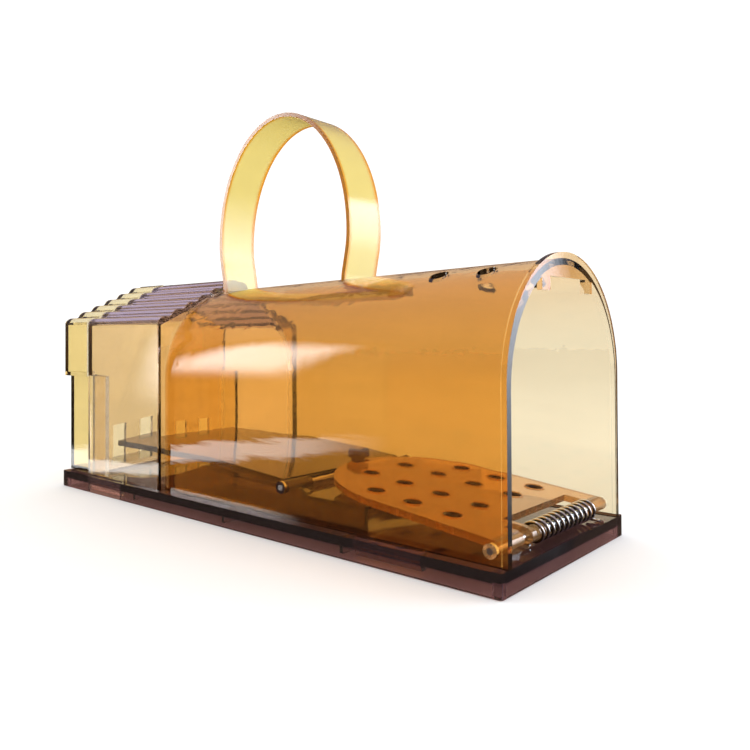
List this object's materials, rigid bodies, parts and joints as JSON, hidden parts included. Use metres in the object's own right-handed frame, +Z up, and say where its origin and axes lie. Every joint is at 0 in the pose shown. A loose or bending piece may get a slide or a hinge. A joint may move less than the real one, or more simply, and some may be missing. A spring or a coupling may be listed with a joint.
{
  "type": "live catch trap",
  "caption": "Clear amber live catch trap: arched tunnel with a tiled house, sprung ramp door, trip pedal, pull-off bait cap and a carry strap.",
  "frame": {"origin": "centre of the footprint, on the surface that the trap stands on", "axes": "+X out of the entrance along the tunnel, +Z up, +Y to the right side of someone who looks in at the entrance"},
  "size_m": [0.203, 0.075, 0.141],
  "materials": {
    "shell_plastic": "clear amber, polished",
    "tray_plastic": "clear brown, polished",
    "steel": "bright drawn wire",
    "strap_plastic": "soft clear yellow"
  },
  "bodies": {
    "housing": {"base_tray": "tray_plastic", "tunnel_shell": "shell_plastic", "bait_grille": "shell_plastic", "door_spring": "steel", "carry_strap": "strap_plastic", "strap_stud": "strap_plastic"},
    "door": {"trap_door": "shell_plastic", "door_pin": "steel"},
    "pedal": {"trip_pedal": "tray_plastic", "pedal_pin": "steel"},
    "cap": {"rear_cap": "shell_plastic"}
  },
  "joints": [
    {"name": "door_swing", "type": "hinge", "parent": "housing", "child": "door", "pos_m": [0.0965, 0, 0.0098], "axis": [0, 1, 0], "range_deg": [0, 84.4], "stiffness_Nm_per_rad": 0.008, "springref_deg": 171.89, "deforming": ["door_spring"]},
    {"name": "pedal_tilt", "type": "hinge", "parent": "housing", "child": "pedal", "pos_m": [0.0242, 0, 0.0152], "axis": [0, -1, 0], "range_deg": [0, 6.3]},
    {"name": "rear_cap_pull", "type": "slide", "parent": "housing", "child": "cap", "axis": [-1, 0, 0], "range_m": [0, 0.03]}
  ]
}
